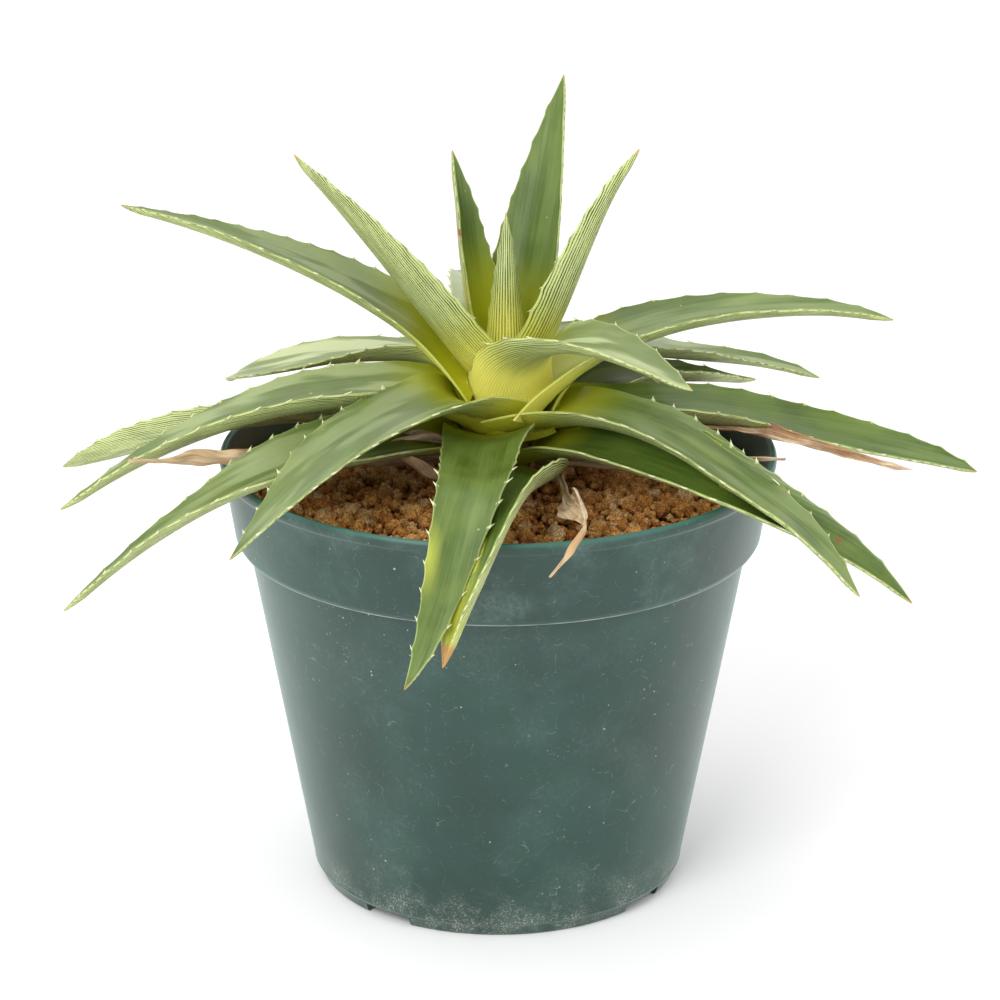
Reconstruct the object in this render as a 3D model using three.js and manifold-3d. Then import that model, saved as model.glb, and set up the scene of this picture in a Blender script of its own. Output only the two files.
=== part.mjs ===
import * as THREE from "three";
import { mergeVertices } from "three/addons/utils/BufferGeometryUtils.js";
import Module from "manifold-3d";

// A dyckia, a spiny rosette plant, in a plastic nursery pot. Millimetres, +Z up.
// The origin lies on the surface that the pot stands on, under the middle of the whole plant.
// -Y is the front. Every place below is given from the pot's own axis, which stands at potAxis.

const wasm = await Module();
wasm.setup();

// Pot
const potAxis = [-3.8, 6.9];
const potHeight = 121.5;
const rimRadius = 75;
const wall = 1.7;
const bandBottom = 97.2;
const bodyTopRadius = 67.7;
const bodyFootRadius = 51;
const footRadius = 49.2;
const footWidth = 4.5;
const floorHeight = 3.2;
const floorThick = 2;
const potSides = 48;
const notchAngles = [-127, -37, 53, 143];
const notchWidth = 14.5;
const notchHeight = 2.8;
const drainRadius = 4.5;
const drainRing = 34;
const middleDrainRadius = 7;

// The pot's inside from the floor up, as radius and height
const floorTop = floorHeight + floorThick;
const cavity = [
  [bodyFootRadius - wall - 0.7, floorTop], [bodyFootRadius - wall + 0.4, floorTop + 2],
  [bodyTopRadius - wall, bandBottom], [rimRadius - 5.5, bandBottom + 2.6],
  [rimRadius - 2.9, potHeight - 4.4],
];

// Soil
const soilTop = 109.5;
const granuleRise = 4;
const granulePitch = 7.8;
const gap = 0.3;
const leafGap = 0.4;

// Plant
const trunkCentre = new THREE.Vector2(2, 3);
const trunkRadius = 8;
const trunkFoot = 78;
const trunkTop = 146;
const leafThick = 3.4;
const edgeThick = 0.8;
const tipCut = 0.965;
const spineLength = 3;
const spineBase = 2.4;
const spineSpacing = 18;
const dryThick = 1.2;

// Leaves, from the heart outwards. Angles are in degrees.
//   turn   the way the leaf's root faces round the trunk, 0 at +X and 90 at +Y
//   root   height of the root's middle line, and out, its distance from the plant's axis
//   rise   steepness of the middle line, at evenly spaced places from the root to the tip
//   sweep  how far it has turned sideways at a third, two thirds and the tip, if it does
//   roll   twist about the middle line at the root and the tip, if any
//   sheath how much wider than the blade the sheath is at the root
//   wrap   half the angle of the channel's arc at the root, in radians, and open, along the blade
//   full   where along the leaf it starts to narrow, and taper, how late it does so
const leaves = [
  { name: "leaf_01", turn: -90, root: 146, out: 3, long: 42, wide: 10.6, full: 0.15, taper: 1.15,
    rise: [80, 86, 88, 90] },
  { name: "leaf_02", turn: 140, root: 145, out: 4, long: 57, wide: 13, rise: [68, 76, 78, 72] },
  { name: "leaf_03", turn: -28, root: 144, out: 5, long: 73, wide: 17, rise: [58, 66, 64, 52] },
  { name: "leaf_04", turn: -150, root: 141, out: 5, long: 90, wide: 26, sheath: 0.1, wrap: 1.05,
    rise: [50, 52, 50, 47] },
  { name: "leaf_05", turn: 55, root: 142, out: 3, long: 80, wide: 22,
    rise: [68, 74, 74, 76], sweep: [0, -3, -6] },
  { name: "leaf_06", turn: -82, root: 135.6, out: 9, long: 79.8, wide: 23, open: 0.86,
    rise: [77, 38, 11, -10, -13], sweep: [32, 43, 38], roll: [-13, 20] },
  { name: "leaf_07", turn: -178.7, root: 141.2, out: 6, long: 121.4, wide: 20, sheath: 0.34,
    wrap: 0.35, open: 0.55, rise: [42.4, 35.8, 28.4, 24.7, 19.8], sweep: [23.4, 31.6, 40],
    roll: [-36.4, -1.9] },
  { name: "leaf_08", turn: 2, root: 132.7, out: 6, long: 106.8, wide: 24.7, sheath: 1, wrap: 0.5,
    open: 0.58, rise: [55, 21.6, 7.8, 3.4, -6.3], sweep: [11.8, -6, -30], roll: [-0.2, 1.2] },
  { name: "leaf_09", turn: 100, root: 134, out: 7, long: 80, wide: 20, rise: [45, 20, -5, -15] },
  { name: "leaf_10", turn: -39, root: 131, out: 8, long: 121.3, wide: 24, sheath: 0.6, wrap: 0.36,
    open: 0.53, rise: [22, 7, -8.6, -19.3, -14.7, -21.5, -25], sweep: [3, -9, -23], roll: [0, -11] },
  { name: "leaf_11", turn: -131.4, root: 126.4, out: 8, long: 117, wide: 26.1, sheath: 0.55,
    wrap: 1.12, open: 0.38, rise: [78, 14.8, -5.6, -7.1, -9, -17.1, -31.9], sweep: [-2, 15.2, 1],
    roll: [-2, 11] },
  { name: "leaf_12", turn: -166, root: 129.6, out: 8, long: 120.6, wide: 25.8, wrap: 0.83,
    rise: [36, 8, -5, -17, -26, -33], sweep: [2, -2, 1], roll: [-8, 15] },
  { name: "leaf_13", turn: -11, root: 128.8, out: 8, long: 127.5, wide: 29, open: 0.6,
    rise: [14, -3, -15, -8, 2], sweep: [25, 9, -45], roll: [-13, 22] },
  { name: "leaf_14", turn: -103.2, root: 127.2, out: 8, long: 121.2, wide: 22, sheath: 0.39,
    wrap: 0.6, open: 0.55, full: 0.02, taper: 2.03, rise: [16.2, 0.1, 2.8, -35.1, -39.3, -18.4],
    sweep: [9.1, -4.1, -9.3], roll: [9.4, -15.4] },
  { name: "leaf_15", turn: 141.7, root: 134.9, out: 8, long: 94.8, wide: 24, open: 0.35,
    rise: [43.5, -6.3, -8.3, -17.8, -30.1], sweep: [2.1, 33.7, -58.9], roll: [25.4, -24] },
  { name: "leaf_16", turn: 30, root: 131.9, out: 8, long: 113.9, wide: 25.2, wrap: 0.59, open: 0.45,
    rise: [70.1, -7.2, -18, -14.3, -5.3], sweep: [13.9, 14.7, -78], roll: [5.1, -0.3] },
  { name: "leaf_17", turn: 64, root: 131, out: 8, long: 88, wide: 24, rise: [20, 0, -20, -35] },
  { name: "leaf_18", turn: -153, root: 123.3, out: 8, long: 132, wide: 25.6, open: 0.6,
    rise: [21, 4, -3, -27, -36, -42], sweep: [11, -22, -13], roll: [-22, 15] },
  { name: "leaf_19", turn: -38.5, root: 122, out: 8, long: 125, wide: 26.7, sheath: 0, wrap: 0.72,
    rise: [28, 6, -5, -18, -24, -39], sweep: [-4, 15, 11], roll: [14, 18] },
  { name: "leaf_20", turn: 120, root: 123, out: 8, long: 100, wide: 24, rise: [22, 7, -20, -32] },
  { name: "leaf_21", turn: 168, root: 122.3, out: 8, long: 124.5, wide: 26, open: 0.65,
    rise: [14, 7, -9, -21, -27], sweep: [16, -2, -30], roll: [-7, 60] },
  { name: "leaf_22", turn: 38, root: 122, out: 8, long: 85, wide: 24, rise: [34, 5, -12, -16] },
  { name: "leaf_23", turn: -74.7, root: 118.7, out: 8, long: 111.1, wide: 25.2, sheath: 0.09,
    wrap: 0.47, open: 1.4, full: 0.5, taper: 1.8, rise: [8.8, 13.5, 4.4, -11.7, -44.3, -59.4],
    sweep: [-28.2, -27.6, -53.5], roll: [-25.9, 28.8] },
  { name: "leaf_24", turn: 92, root: 124, out: 8, long: 92, wide: 24, rise: [16, 5, -20, -34] },
];

// Dried leaves, from the same values: thin, curled and without spines
const dryLeaves = [
  { name: "dry_leaf_1", turn: -163.6, root: 117.6, out: 9, long: 96.1, wide: 9, rise: [6, 4, 9, 5, 7],
    sweep: [6, 0, 1], roll: [0, 50] },
  { name: "dry_leaf_2", turn: -48, root: 120.2, out: 9, long: 99.3, wide: 7, full: 0.6, taper: 1,
    rise: [18, -10, 13, 13, -5, -46], sweep: [-36, -37, -40, -102], roll: [20, 90] },
  { name: "dry_leaf_3", turn: -1, root: 121, out: 9, long: 103.5, wide: 9, rise: [24, 4, -12, -13],
    sweep: [-7, -11, 2], roll: [0, 50] },
  { name: "dry_leaf_4", turn: -18.2, root: 117.3, out: 9, long: 68.6, wide: 5, rise: [2, 4, 10, 7],
    sweep: [1, 5, 6], roll: [0, 30] },
  { name: "dry_leaf_5", turn: -136.6, root: 116.3, out: 9, long: 40.2, wide: 11,
    rise: [-5, 11, 41, 31], sweep: [14, -11, -15], roll: [0, 20] },
  { name: "dry_leaf_6", turn: -130.6, root: 120.2, out: 9, long: 61.8, wide: 7, full: 0.5,
    rise: [30, 22, -9, 8, -33], sweep: [-23, 10, 59], roll: [0, 30] },
  { name: "dry_leaf_7", turn: 40.5, root: 134.7, out: 9, long: 39.6, wide: 7,
    rise: [7, 17, 42, 110, 110], sweep: [-1, -15, -26], roll: [0, 20] },
];

const radians = Math.PI / 180;

// A closed mesh as a solid for cutting and joining
function solid(geometry) {
  const bare = geometry.clone();
  bare.deleteAttribute("normal");
  bare.deleteAttribute("uv");
  const merged = mergeVertices(bare, 1e-4);
  return new wasm.Manifold(new wasm.Mesh({
    numProp: 3,
    vertProperties: new Float32Array(merged.attributes.position.array),
    triVerts: new Uint32Array(merged.index.array),
  }));
}

// The solid as a faceted geometry
function faceted(body) {
  const mesh = body.getMesh();
  const geometry = new THREE.BufferGeometry();
  const places = new Float32Array(mesh.vertProperties);
  geometry.setAttribute("position", new THREE.BufferAttribute(places, 3));
  geometry.setIndex(new THREE.BufferAttribute(new Uint32Array(mesh.triVerts), 1));
  const flat = geometry.toNonIndexed();
  flat.computeVertexNormals();
  return flat;
}

function largestBody(body) {
  const bodies = body.decompose();
  return bodies.reduce((best, next) => (next.volume() > best.volume() ? next : best));
}

// A profile turned about Z
function turned(profile, sides) {
  const points = profile.map(([r, z]) => new THREE.Vector2(r, z));
  return solid(new THREE.LatheGeometry(points, sides).rotateX(Math.PI / 2));
}

// A value that runs smoothly through evenly spaced ones
function through(values, s) {
  const last = values.length - 1;
  const at = Math.min(Math.max(s, 0), 1) * last;
  const i = Math.min(Math.floor(at), last - 1);
  const t = at - i;
  const b = values[i];
  const c = values[i + 1];
  const a = i > 0 ? values[i - 1] : 2 * b - c;
  const d = i + 2 <= last ? values[i + 2] : 2 * c - b;
  return 0.5 * (2 * b + (c - a) * t + (2 * a - 5 * b + 4 * c - d) * t * t + (3 * b - a - 3 * c + d) * t ** 3);
}

// A repeatable number from 0 to 1 for a place
function scatter(i, j, k) {
  const v = Math.sin(i * 127.1 + j * 311.7 + k * 74.7) * 43758.5453;
  return v - Math.floor(v);
}

// ---- Pot: one thin moulding

function makePot() {
  const innerFoot = footRadius - footWidth;
  const profile = [
    [0, floorHeight], [innerFoot, floorHeight], [innerFoot, 0],
    [footRadius - 0.5, 0], [footRadius, 0.5], [bodyFootRadius - 0.8, floorHeight],
    [bodyFootRadius, floorHeight + 0.8], [bodyFootRadius, floorHeight + 1.6],
    [bodyTopRadius, bandBottom], [rimRadius - 4.9, bandBottom + 0.2], [rimRadius - 3.9, bandBottom + 1.8],
    [rimRadius - 1.1, potHeight - 4.2], [rimRadius - 0.5, potHeight - 2.8], [rimRadius, potHeight - 1.2],
    [rimRadius - 0.7, potHeight], [rimRadius - 1.8, potHeight - 0.5],
    ...[...cavity].reverse(), [0, floorTop],
  ];
  let pot = turned(profile, potSides);
  for (const angle of notchAngles) {
    const notch = new THREE.BoxGeometry(14, notchWidth, 2 * notchHeight);
    notch.translate(footRadius, 0, 0).rotateZ(angle * radians);
    pot = pot.subtract(solid(notch));
  }
  const hole = (radius) => new THREE.CylinderGeometry(radius, radius, 12, 16).rotateX(Math.PI / 2);
  pot = pot.subtract(solid(hole(middleDrainRadius).translate(0, 0, floorHeight)));
  for (const angle of notchAngles) {
    const drain = hole(drainRadius).translate(drainRing, 0, floorHeight).rotateZ(angle * radians);
    pot = pot.subtract(solid(drain));
  }
  return pot;
}

// ---- Soil: a bed with clay granules standing out of its top

// Height of the bed's top: each granule is a dome round a jittered centre
function granuleHeight(x, y) {
  let height = 0;
  const row = granulePitch * 0.87;
  const j0 = Math.round(y / row);
  for (let j = j0 - 1; j <= j0 + 1; j++) {
    const shift = (Math.abs(j) % 2) * granulePitch * 0.5;
    const i0 = Math.round((x - shift) / granulePitch);
    for (let i = i0 - 1; i <= i0 + 1; i++) {
      const cx = i * granulePitch + shift + (scatter(i, j, 1) - 0.5) * 2.2;
      const cy = j * row + (scatter(i, j, 2) - 0.5) * 2.2;
      const size = granulePitch * (0.5 + 0.12 * scatter(i, j, 3));
      const d = Math.hypot(x - cx, y - cy) / size;
      const dome = granuleRise * (0.75 + 0.5 * scatter(i, j, 4));
      if (d < 1) height = Math.max(height, dome * Math.sqrt(1 - d * d));
    }
  }
  return height;
}

function makeSoil(trunk) {
  const step = 4.7;
  const half = 76;
  const count = Math.round((2 * half) / step);
  const bed = new THREE.BoxGeometry(2 * half, 2 * half, 40, count, count, 1);
  const place = bed.attributes.position;
  for (let i = 0; i < place.count; i++) {
    if (place.getZ(i) < 0) continue;
    const shift = (Math.round((place.getY(i) + half) / step) % 2) * step * 0.5;
    const x = place.getX(i) + (Math.abs(place.getX(i)) < half - 1 ? shift : 0);
    place.setX(i, x);
    place.setZ(i, 20 + granuleHeight(x, place.getY(i)));
  }
  bed.translate(0, 0, soilTop - 20);
  const lining = cavity.map(([r, z]) => [r - 2 * gap, z + gap]);
  const inside = turned([[0, floorTop + gap], ...lining, [0, potHeight - 4.4 + gap]], potSides);
  const under = new THREE.CylinderGeometry(80, 80, soilTop - 30, 24).rotateX(Math.PI / 2);
  under.translate(0, 0, (soilTop - 30) / 2);
  return inside.intersect(solid(bed).add(solid(under))).subtract(trunk);
}

// ---- Trunk

function makeTrunk(grow) {
  const profile = [
    [0, trunkFoot - grow], [5 + grow, trunkFoot - grow], [trunkRadius + grow, trunkFoot + 5],
    [trunkRadius + grow, soilTop + 8], [trunkRadius - 0.6 + grow, trunkTop - 16],
    [4.5 + grow, trunkTop - 3], [2.6 + grow, trunkTop + grow], [0, trunkTop + grow],
  ];
  return turned(profile, 16).translate([trunkCentre.x, trunkCentre.y, 0]);
}

// ---- Leaves: a channelled blade with hooked spines along both margins

const midlineSteps = 60;

function midline(leaf) {
  const { sweep = [0, 0, 0], roll = [0, 0] } = leaf;
  const heading = (s) => (leaf.turn + through([0, ...sweep], s)) * radians;
  const along = (s) => {
    const e = through(leaf.rise, s) * radians;
    const h = heading(s);
    return new THREE.Vector3(Math.cos(e) * Math.cos(h), Math.cos(e) * Math.sin(h), Math.sin(e));
  };
  const start = leaf.turn * radians;
  const place = new THREE.Vector3(
    trunkCentre.x + leaf.out * Math.cos(start), trunkCentre.y + leaf.out * Math.sin(start), leaf.root,
  );
  const places = [place.clone()];
  for (let i = 0; i < midlineSteps; i++) {
    const step = along(i / midlineSteps).add(along((i + 1) / midlineSteps));
    place.addScaledVector(step, leaf.long / midlineSteps / 2);
    places.push(place.clone());
  }
  return (s) => {
    const at = Math.min(Math.max(s, 0), 1) * midlineSteps;
    const i = Math.min(Math.floor(at), midlineSteps - 1);
    const tangent = along(s);
    const h = heading(s);
    const side = new THREE.Vector3(-Math.sin(h), Math.cos(h), 0);
    const upward = new THREE.Vector3().crossVectors(tangent, side);
    const twist = (roll[0] + (roll[1] - roll[0]) * s) * radians;
    return {
      place: places[i].clone().lerp(places[i + 1], at - i),
      tangent,
      side: side.clone().multiplyScalar(Math.cos(twist)).addScaledVector(upward, Math.sin(twist)),
      upward: upward.multiplyScalar(Math.cos(twist)).addScaledVector(side, -Math.sin(twist)),
    };
  };
}

const clamp = (v) => Math.min(Math.max(v, 0), 1);

function halfWidth(leaf, s) {
  const { full = 0.3, taper = 1.5 } = leaf;
  const blade = 1 - clamp((s - full) / (1 - full)) ** taper;
  const sheath = 1 + (leaf.sheath ?? 0.2) * clamp(1 - s / 0.25) ** 1.5;
  return (leaf.wide / 2) * blade * sheath;
}

// Half the angle that the channel's arc spans
function fold(leaf, s) {
  const { open = leaf.dry ? 1.3 : 0.75, wrap = leaf.dry ? 1.3 : 1.1 } = leaf;
  return open * (1 - 0.15 * s) + (wrap - open) * clamp(1 - s / 0.25) ** 1.5;
}

function thickness(leaf, s, u) {
  const middle = (leaf.dry ? dryThick : leafThick) * (1 - 0.62 * s);
  return edgeThick + (middle - edgeThick) * (1 - Math.abs(u) ** 2.2);
}

const across = [-1, -0.5, 0, 0.5, 1];
const dryAcross = [-1, 0, 1];

// One ring of points round the leaf at s, the upper face from left to right and the lower face back
function ring(leaf, frame, s, grow) {
  const { place, side, upward, tangent } = frame(s);
  place.addScaledVector(tangent, Math.min(s, 0) * leaf.long);
  const half = halfWidth(leaf, s) + grow;
  const bend = fold(leaf, s);
  const radius = half / bend;
  const at = (u, r) => place.clone()
    .addScaledVector(side, r * Math.sin(bend * u))
    .addScaledVector(upward, radius - r * Math.cos(bend * u));
  const places = leaf.dry ? dryAcross : across;
  const upper = places.map((u) => at(u, radius - grow));
  const lower = places.map((u) => at(u, radius + thickness(leaf, s, u) + grow)).reverse();
  return [...upper, ...lower];
}

// Where the spines stand along the leaf, as pairs of stations
function spineStations(leaf) {
  const first = 0.36 * Math.min(1, 80 / leaf.long);
  const count = Math.max(2, Math.round(((tipCut - 0.06 - first) * leaf.long) / spineSpacing) + 1);
  return Array.from({ length: count }, (_, i) => first + (i / (count - 1)) * (tipCut - 0.06 - first));
}

function makeLeaf(leaf, grow = 0) {
  const frame = midline(leaf);
  const spines = leaf.dry ? [] : spineStations(leaf);
  const stations = [-grow / leaf.long];
  if (leaf.dry) {
    const steps = Math.round(leaf.long / 8);
    for (let i = 1; i < steps; i++) stations.push((i / steps) * tipCut);
  } else {
    stations.push(0.05, 0.1, 0.15, 0.2);
    for (const s of spines) {
      stations.push(s - spineBase / 2 / leaf.long, s + spineBase / 2 / leaf.long);
    }
  }
  stations.push(tipCut);
  const points = [];
  const faces = [];
  const rings = stations.map((s) => {
    const first = points.length;
    points.push(...ring(leaf, frame, s, grow));
    return first;
  });
  const size = leaf.dry ? 2 * dryAcross.length : 2 * across.length;
  const spineAt = (k) => spines.some((s) => Math.abs(stations[k] - (s - spineBase / 2 / leaf.long)) < 1e-6);
  for (let k = 0; k + 1 < rings.length; k++) {
    for (let i = 0; i < size; i++) {
      const j = (i + 1) % size;
      const [a, b, c, d] = [rings[k] + i, rings[k] + j, rings[k + 1] + j, rings[k + 1] + i];
      const margin = i === size / 2 - 1 || i === size - 1;
      if (margin && spineAt(k)) {
        const s = (stations[k] + stations[k + 1]) / 2;
        const { side, upward, tangent } = frame(s);
        const hand = i === size - 1 ? -1 : 1;
        const bend = fold(leaf, s);
        const root = points[a].clone().add(points[b]).add(points[c]).add(points[d]).multiplyScalar(0.25);
        const length = spineLength * (leaf.long < 60 ? 0.6 : 1) * (1 - 0.4 * s) + grow;
        root.addScaledVector(side, hand * Math.cos(bend) * length)
          .addScaledVector(upward, Math.sin(bend) * length * 0.8)
          .addScaledVector(tangent, 0.35 * length);
        points.push(root);
        const apex = points.length - 1;
        faces.push([b, a, apex], [c, b, apex], [d, c, apex], [a, d, apex]);
      } else {
        faces.push([a, c, b], [a, d, c]);
      }
    }
  }
  // Both ends: a flat root and a pointed tip
  const end = frame(1);
  points.push(end.place.clone().addScaledVector(end.tangent, grow));
  const tip = points.length - 1;
  for (let i = 0; i < size; i++) faces.push([rings.at(-1) + ((i + 1) % size), rings.at(-1) + i, tip]);
  for (let i = 0; i + 1 < size / 2; i++) {
    const [a, b, c, d] = [i, i + 1, size - 2 - i, size - 1 - i].map((k) => rings[0] + k);
    faces.push([a, b, c], [a, c, d]);
  }
  const geometry = new THREE.BufferGeometry();
  geometry.setAttribute("position", new THREE.Float32BufferAttribute(points.flatMap((p) => p.toArray()), 3));
  geometry.setIndex(faces.flat());
  return solid(geometry);
}

// ---- Assembly

const group = new THREE.Group();
group.position.set(...potAxis, 0);

function add(name, body, color, roughness, metalness = 0) {
  const mesh = new THREE.Mesh(faceted(body), new THREE.MeshStandardMaterial({ color, roughness, metalness }));
  mesh.name = name;
  group.add(mesh);
}

const potBody = makePot();
const trunkBody = makeTrunk(0);
const trunkRoom = makeTrunk(gap);
add("pot", potBody, 0x4f6f66, 0.55);
add("soil", makeSoil(trunkRoom), 0x9a6138, 0.95);
add("trunk", trunkBody, 0x8d8a4e, 0.7);

let taken = trunkRoom;
const blades = [...leaves, ...dryLeaves.map((leaf) => ({ ...leaf, dry: true }))];
for (const leaf of blades) {
  const body = largestBody(makeLeaf(leaf).subtract(taken));
  const living = leaf.out < 6 ? 0xa9b75a : 0x7f9a58;
  add(leaf.name, body, leaf.dry ? 0xc2a47c : living, leaf.dry ? 0.85 : 0.5);
  taken = taken.add(makeLeaf(leaf, leafGap));
}

export default group;
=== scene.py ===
import math
import random
from contextlib import contextmanager

import bmesh
import bpy
from mathutils import Euler, Matrix, Vector, noise
from mathutils.bvhtree import BVHTree


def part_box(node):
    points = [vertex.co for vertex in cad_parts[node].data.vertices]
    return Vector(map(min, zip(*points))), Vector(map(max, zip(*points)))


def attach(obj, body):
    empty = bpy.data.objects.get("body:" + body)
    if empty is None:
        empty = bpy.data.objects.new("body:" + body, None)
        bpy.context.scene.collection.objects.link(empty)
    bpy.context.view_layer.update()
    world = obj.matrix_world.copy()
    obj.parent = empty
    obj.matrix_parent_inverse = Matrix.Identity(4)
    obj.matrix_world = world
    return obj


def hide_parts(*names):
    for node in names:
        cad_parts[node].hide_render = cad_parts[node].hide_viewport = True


# A dyckia in a plastic nursery pot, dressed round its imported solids.
# Shapes are worked out in millimetres from the pot's own axis, and inFrame takes them into the frame.

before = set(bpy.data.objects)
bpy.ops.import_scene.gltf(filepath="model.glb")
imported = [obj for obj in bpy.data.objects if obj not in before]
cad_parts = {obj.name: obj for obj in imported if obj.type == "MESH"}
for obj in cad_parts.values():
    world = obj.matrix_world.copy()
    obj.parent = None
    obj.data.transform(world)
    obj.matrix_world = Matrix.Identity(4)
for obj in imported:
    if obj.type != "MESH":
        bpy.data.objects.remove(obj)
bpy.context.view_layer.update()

scene = bpy.context.scene
millimetre = 0.001
potLow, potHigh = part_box("pot")
potAxis = Vector(((potLow.x + potHigh.x) / 2, (potLow.y + potHigh.y) / 2, 0))


def inFrame(point):
    return potAxis + Vector(point) * millimetre


def clamp(value):
    return min(max(value, 0), 1)


# Camera and light

camera = {
    "place": (0.5, -1005.5, 468.8), "lookDown": 19.82, "roll": 0.07,
    "lens": 142.2, "sensor": 36, "farthest": 20,
}

cameraData = bpy.data.cameras.new("camera")
cameraData.lens = camera["lens"]
cameraData.sensor_width = camera["sensor"]
cameraData.clip_end = camera["farthest"]
cameraObject = bpy.data.objects.new("camera", cameraData)
cameraObject.location = inFrame(camera["place"])
tilt = Matrix.Rotation(math.radians(90 - camera["lookDown"]), 4, "X")
cameraObject.rotation_euler = (tilt @ Matrix.Rotation(math.radians(camera["roll"]), 4, "Z")).to_euler()
scene.collection.objects.link(cameraObject)
scene.camera = cameraObject

studio = {
    "skyStrength": 0.98,
    "floorSize": 8.0,
    "floorGrey": 0.95,
    "lampsLookAt": (0, 0, 0.12),
    "lamps": {
        "keyLamp": {"place": (-0.8, -1.5, 1.3), "size": 1.1, "power": 24},
        "fillLamp": {"place": (1.3, -1.0, 0.9), "size": 1.4, "power": 3.5},
        "topLamp": {"place": (-0.6, 0.5, 1.6), "size": 1.2, "power": 4},
    },
}

scene.view_settings.view_transform = "Standard"
world = bpy.data.worlds.new("studio")
world.use_nodes = True
world.node_tree.nodes["Background"].inputs["Color"].default_value = (1, 1, 1, 1)
world.node_tree.nodes["Background"].inputs["Strength"].default_value = studio["skyStrength"]
scene.world = world

for lampName, lamp in studio["lamps"].items():
    lampData = bpy.data.lights.new(lampName, "AREA")
    lampData.size = lamp["size"]
    lampData.energy = lamp["power"]
    lampObject = bpy.data.objects.new(lampName, lampData)
    lampObject.location = lamp["place"]
    aim = Vector(studio["lampsLookAt"]) - Vector(lamp["place"])
    lampObject.rotation_euler = aim.to_track_quat("-Z", "Y").to_euler()
    scene.collection.objects.link(lampObject)
print("camera and lamps placed")


# Node helpers

def paint(code):
    # A linear colour from a web colour code
    parts = [int(code[i:i + 2], 16) / 255 for i in (1, 3, 5)]
    return tuple(((part + 0.055) / 1.055) ** 2.4 for part in parts)


def addNode(tree, kind, inputs=None, **settings):
    # Each input is another node's output, a web colour code or a plain value
    made = tree.nodes.new(kind)
    for key, value in settings.items():
        setattr(made, key, value)
    for key, value in (inputs or {}).items():
        if isinstance(value, bpy.types.NodeSocket):
            tree.links.new(value, made.inputs[key])
        else:
            made.inputs[key].default_value = (*paint(value), 1) if isinstance(value, str) else value
    return made


def maths(tree, operation, *values, clamp=False):
    inputs = dict(enumerate(values))
    return addNode(tree, "ShaderNodeMath", inputs, operation=operation, use_clamp=clamp).outputs[0]


def times(tree, first, second):
    return maths(tree, "MULTIPLY", first, second)


def plus(tree, first, second):
    return maths(tree, "ADD", first, second)


def scaled(tree, value, factor, offset):
    return maths(tree, "MULTIPLY_ADD", value, factor, offset)


def ease(tree, value, low, high, start=0.0, end=1.0):
    ends = {"Value": value, "From Min": low, "From Max": high, "To Min": start, "To Max": end}
    return addNode(tree, "ShaderNodeMapRange", ends, interpolation_type="SMOOTHSTEP").outputs[0]


def mixColour(tree, factor, first, second):
    return addNode(tree, "ShaderNodeMix", {0: factor, 6: first, 7: second}, data_type="RGBA").outputs[2]


def coats(tree, colour, layers):
    # Lays each layer's colour over what is there, where its mask is
    for mask, tint in layers:
        colour = mixColour(tree, mask, colour, tint)
    return colour


def colourRamp(tree, value, stops):
    made = addNode(tree, "ShaderNodeValToRGB", {0: value})
    band = made.color_ramp
    while len(band.elements) < len(stops):
        band.elements.new(0.5)
    for element, (place, code) in zip(band.elements, stops):
        element.position = place
        element.color = (*paint(code), 1)
    return made.outputs[0]


def noiseAt(tree, place, scale, detail=2.0, roughness=0.5):
    inputs = {"Vector": place, "Scale": scale, "Detail": detail, "Roughness": roughness}
    return addNode(tree, "ShaderNodeTexNoise", inputs).outputs[0]


def reading(tree, name):
    return addNode(tree, "ShaderNodeAttribute", attribute_name=name).outputs["Fac"]


def placeInMillimetres(tree):
    inputs = {0: addNode(tree, "ShaderNodeTexCoord").outputs["Object"], "Scale": 1 / millimetre}
    return addNode(tree, "ShaderNodeVectorMath", inputs, operation="SCALE").outputs[0]


def newGroup(name, **inputs):
    # A group that puts out one mask. An input of None is a place, and any other is a number.
    tree = bpy.data.node_groups.new(name, "ShaderNodeTree")
    for label, value in inputs.items():
        kind = "NodeSocketVector" if value is None else "NodeSocketFloat"
        socket = tree.interface.new_socket(label, in_out="INPUT", socket_type=kind)
        if value is not None:
            socket.default_value = value
    tree.interface.new_socket("Mask", in_out="OUTPUT", socket_type="NodeSocketFloat")
    return tree, tree.nodes.new("NodeGroupInput").outputs, tree.nodes.new("NodeGroupOutput").inputs["Mask"]


def useGroup(tree, group, **inputs):
    return addNode(tree, "ShaderNodeGroup", inputs, node_tree=group).outputs["Mask"]


def newMaterial(name, roughness, specular=0.5):
    material = bpy.data.materials.new(name)
    material.use_nodes = True
    tree = material.node_tree
    shader = tree.nodes["Principled BSDF"]
    shader.inputs["Roughness"].default_value = roughness
    shader.inputs["Specular IOR Level"].default_value = specular
    return material, tree, shader


def finishSurface(tree, shader, colour, height, depth, roughness=None):
    # depth is how far the relief stands out, in millimetres
    tree.links.new(colour, shader.inputs["Base Color"])
    if roughness is not None:
        tree.links.new(roughness, shader.inputs["Roughness"])
    inputs = {"Strength": 1.0, "Distance": depth * millimetre, "Height": height}
    bump = addNode(tree, "ShaderNodeBump", inputs)
    tree.links.new(bump.outputs[0], shader.inputs["Normal"])


# Effects that several finishes share

# Small pale dots, one in some of the cells of a scattered grid
whiteSpecks, taken, given = newGroup("whiteSpecks", Place=None, Spacing=4.0, Share=0.3, Radius=0.12)
perMillimetre = maths(whiteSpecks, "DIVIDE", 1.0, taken["Spacing"])
cells = addNode(whiteSpecks, "ShaderNodeTexVoronoi", {"Vector": taken["Place"], "Scale": perMillimetre})
chance = addNode(whiteSpecks, "ShaderNodeSeparateColor", {0: cells.outputs["Color"]})
chosen = maths(whiteSpecks, "LESS_THAN", chance.outputs[0], taken["Share"])
reach = times(whiteSpecks, taken["Radius"], chance.outputs[1])
inside = maths(whiteSpecks, "LESS_THAN", cells.outputs["Distance"], reach)
whiteSpecks.links.new(times(whiteSpecks, chosen, inside), given)

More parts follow.
